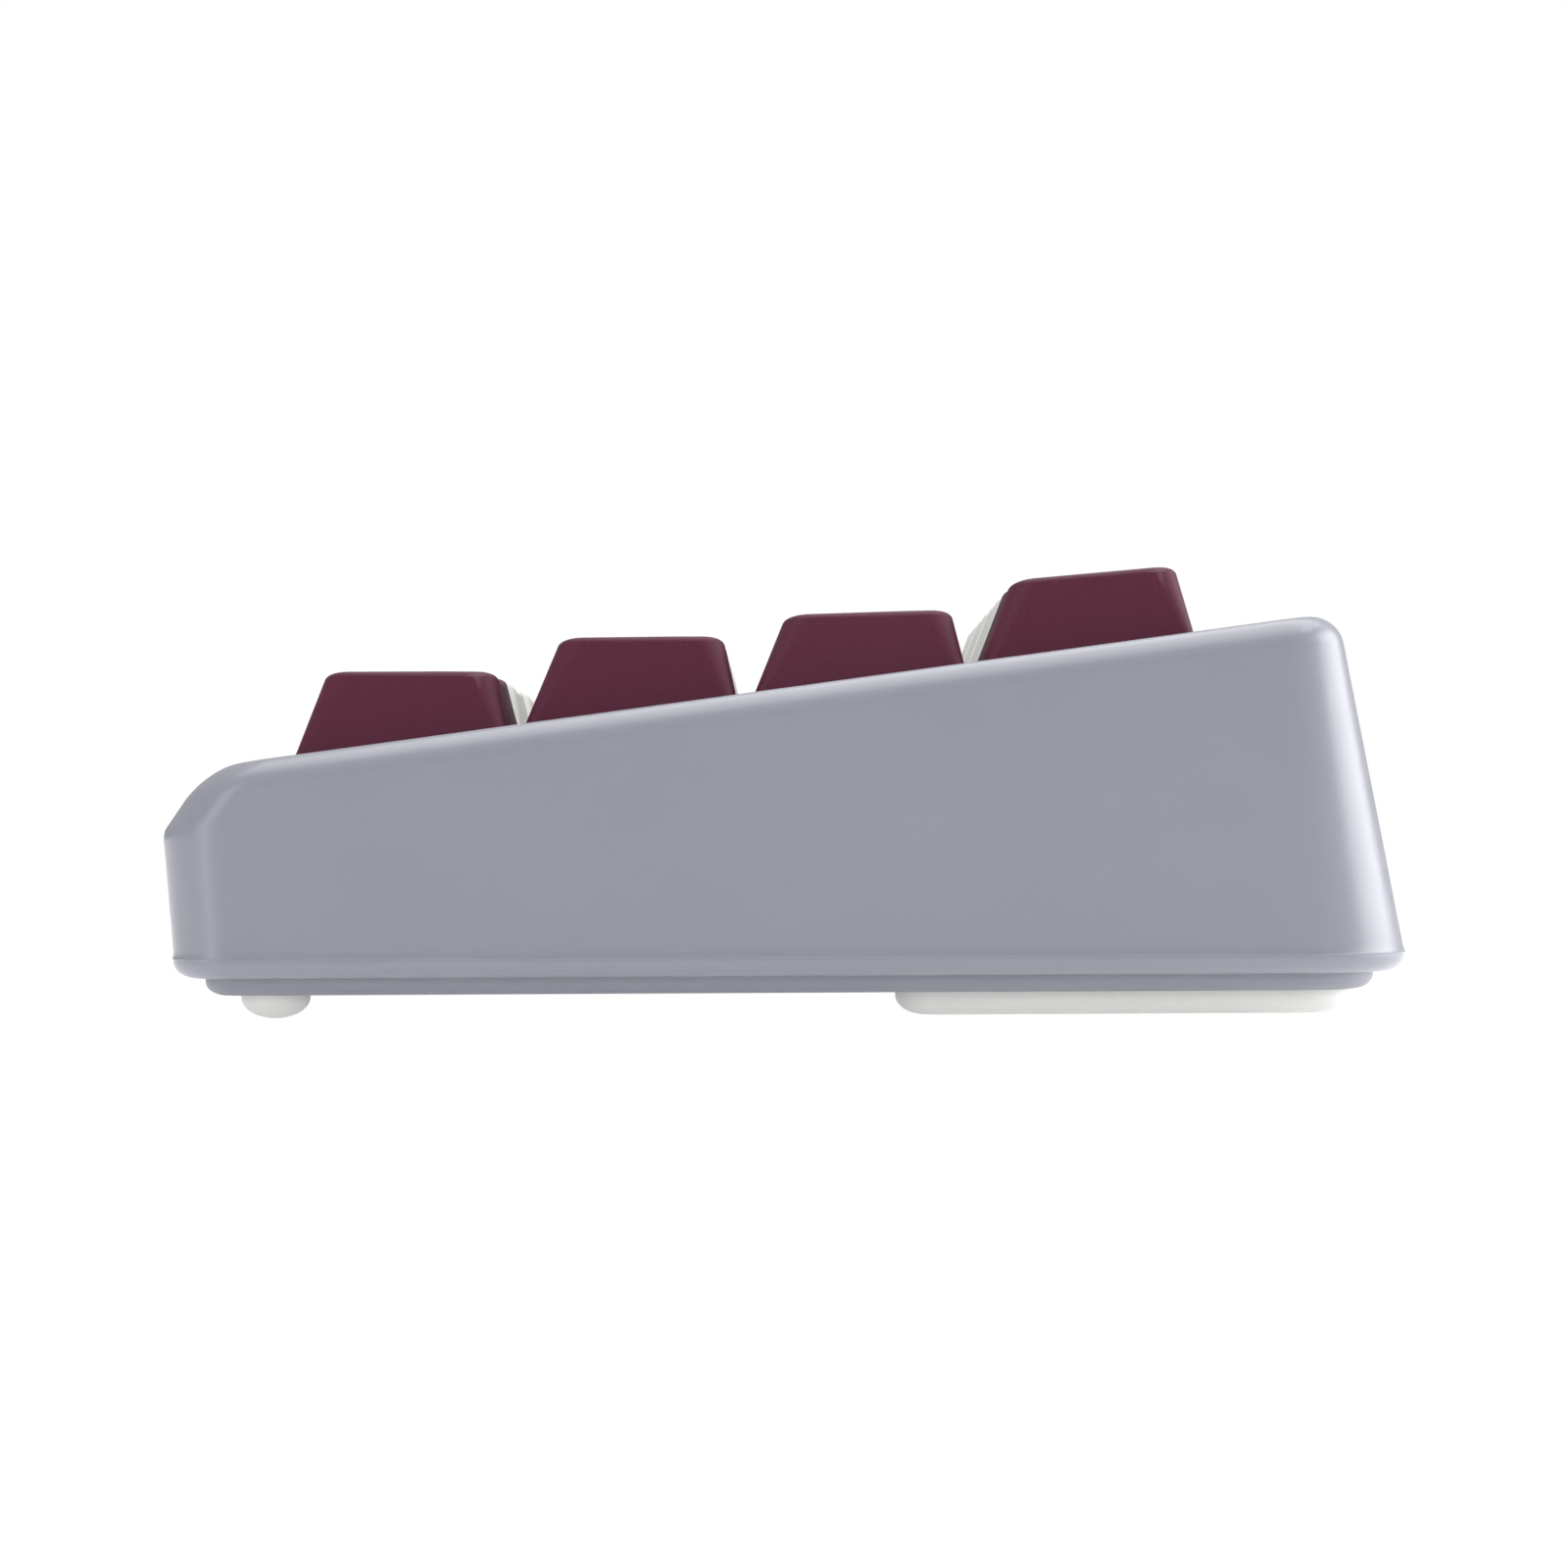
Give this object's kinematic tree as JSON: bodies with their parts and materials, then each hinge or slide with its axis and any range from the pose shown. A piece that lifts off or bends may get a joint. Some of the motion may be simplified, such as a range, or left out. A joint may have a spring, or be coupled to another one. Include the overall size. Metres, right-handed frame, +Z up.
{
  "type": "numeric keypad",
  "caption": "Compact numeric keypad: a square block of sculpted sprung keys, one side column darker, in a wedge-shaped plastic case on rubber feet with a USB-C inlet at the back",
  "frame": {"origin": "On the table, under the middle of the case's bounding box.", "axes": "+X is the user's right, +Y points away from the user towards the high back edge, +Z is up."},
  "size_m": [0.0944, 0.1009, 0.0368],
  "materials": {
    "case": "satin moulded plastic, cool light grey",
    "cap_plum": "fine-grained plastic, dark plum",
    "cap_white": "fine-grained plastic, off-white",
    "stem": "smooth moulded plastic, red",
    "housing": "fine-grained plastic, black",
    "plate": "brushed steel sheet",
    "board": "green solder mask over glass-fibre board",
    "rubber": "matt pale grey rubber",
    "steel": "plated steel, satin"
  },
  "bodies": {
    "case": {"upper_case": "case", "base_plate": "case", "switch_plate": "plate", "circuit_board": "board", "usb_c_receptacle": "steel", "case_screw_front": "steel", "case_screw_back_left": "steel", "case_screw_back_right": "steel", "foot_dome_left": "rubber", "foot_dome_right": "rubber", "foot_bar_left": "rubber", "foot_bar_right": "rubber", "switch_housing_0": "housing", "switch_housing_point": "housing", "switch_housing_equals": "housing", "switch_housing_plus": "housing", "switch_housing_1": "housing", "switch_housing_2": "housing", "switch_housing_3": "housing", "switch_housing_minus": "housing", "switch_housing_4": "housing", "switch_housing_5": "housing", "switch_housing_6": "housing", "switch_housing_times": "housing", "switch_housing_7": "housing", "switch_housing_8": "housing", "switch_housing_9": "housing", "switch_housing_divide": "housing"},
    "key_0": {"keycap_0": "cap_white", "stem_0": "stem"},
    "key_point": {"keycap_point": "cap_white", "stem_point": "stem"},
    "key_equals": {"keycap_equals": "cap_white", "stem_equals": "stem"},
    "key_plus": {"keycap_plus": "cap_plum", "stem_plus": "stem"},
    "key_1": {"keycap_1": "cap_white", "stem_1": "stem"},
    "key_2": {"keycap_2": "cap_white", "stem_2": "stem"},
    "key_3": {"keycap_3": "cap_white", "stem_3": "stem"},
    "key_minus": {"keycap_minus": "cap_plum", "stem_minus": "stem"},
    "key_4": {"keycap_4": "cap_white", "stem_4": "stem"},
    "key_5": {"keycap_5": "cap_white", "stem_5": "stem"},
    "key_6": {"keycap_6": "cap_white", "stem_6": "stem"},
    "key_times": {"keycap_times": "cap_plum", "stem_times": "stem"},
    "key_7": {"keycap_7": "cap_white", "stem_7": "stem"},
    "key_8": {"keycap_8": "cap_white", "stem_8": "stem"},
    "key_9": {"keycap_9": "cap_white", "stem_9": "stem"},
    "key_divide": {"keycap_divide": "cap_plum", "stem_divide": "stem"}
  },
  "joints": [
    {"name": "press_0", "type": "slide", "parent": "case", "child": "key_0", "axis": [0, 0.1305, -0.9914], "range_m": [0, 0.004], "stiffness_N_per_m": 75, "springref_m": -0.005},
    {"name": "press_point", "type": "slide", "parent": "case", "child": "key_point", "axis": [0, 0.1305, -0.9914], "range_m": [0, 0.004], "stiffness_N_per_m": 75, "springref_m": -0.005},
    {"name": "press_equals", "type": "slide", "parent": "case", "child": "key_equals", "axis": [0, 0.1305, -0.9914], "range_m": [0, 0.004], "stiffness_N_per_m": 75, "springref_m": -0.005},
    {"name": "press_plus", "type": "slide", "parent": "case", "child": "key_plus", "axis": [0, 0.1305, -0.9914], "range_m": [0, 0.004], "stiffness_N_per_m": 75, "springref_m": -0.005},
    {"name": "press_1", "type": "slide", "parent": "case", "child": "key_1", "axis": [0, 0.1305, -0.9914], "range_m": [0, 0.004], "stiffness_N_per_m": 75, "springref_m": -0.005},
    {"name": "press_2", "type": "slide", "parent": "case", "child": "key_2", "axis": [0, 0.1305, -0.9914], "range_m": [0, 0.004], "stiffness_N_per_m": 75, "springref_m": -0.005},
    {"name": "press_3", "type": "slide", "parent": "case", "child": "key_3", "axis": [0, 0.1305, -0.9914], "range_m": [0, 0.004], "stiffness_N_per_m": 75, "springref_m": -0.005},
    {"name": "press_minus", "type": "slide", "parent": "case", "child": "key_minus", "axis": [0, 0.1305, -0.9914], "range_m": [0, 0.004], "stiffness_N_per_m": 75, "springref_m": -0.005},
    {"name": "press_4", "type": "slide", "parent": "case", "child": "key_4", "axis": [0, 0.1305, -0.9914], "range_m": [0, 0.004], "stiffness_N_per_m": 75, "springref_m": -0.005},
    {"name": "press_5", "type": "slide", "parent": "case", "child": "key_5", "axis": [0, 0.1305, -0.9914], "range_m": [0, 0.004], "stiffness_N_per_m": 75, "springref_m": -0.005},
    {"name": "press_6", "type": "slide", "parent": "case", "child": "key_6", "axis": [0, 0.1305, -0.9914], "range_m": [0, 0.004], "stiffness_N_per_m": 75, "springref_m": -0.005},
    {"name": "press_times", "type": "slide", "parent": "case", "child": "key_times", "axis": [0, 0.1305, -0.9914], "range_m": [0, 0.004], "stiffness_N_per_m": 75, "springref_m": -0.005},
    {"name": "press_7", "type": "slide", "parent": "case", "child": "key_7", "axis": [0, 0.1305, -0.9914], "range_m": [0, 0.004], "stiffness_N_per_m": 75, "springref_m": -0.005},
    {"name": "press_8", "type": "slide", "parent": "case", "child": "key_8", "axis": [0, 0.1305, -0.9914], "range_m": [0, 0.004], "stiffness_N_per_m": 75, "springref_m": -0.005},
    {"name": "press_9", "type": "slide", "parent": "case", "child": "key_9", "axis": [0, 0.1305, -0.9914], "range_m": [0, 0.004], "stiffness_N_per_m": 75, "springref_m": -0.005},
    {"name": "press_divide", "type": "slide", "parent": "case", "child": "key_divide", "axis": [0, 0.1305, -0.9914], "range_m": [0, 0.004], "stiffness_N_per_m": 75, "springref_m": -0.005}
  ]
}
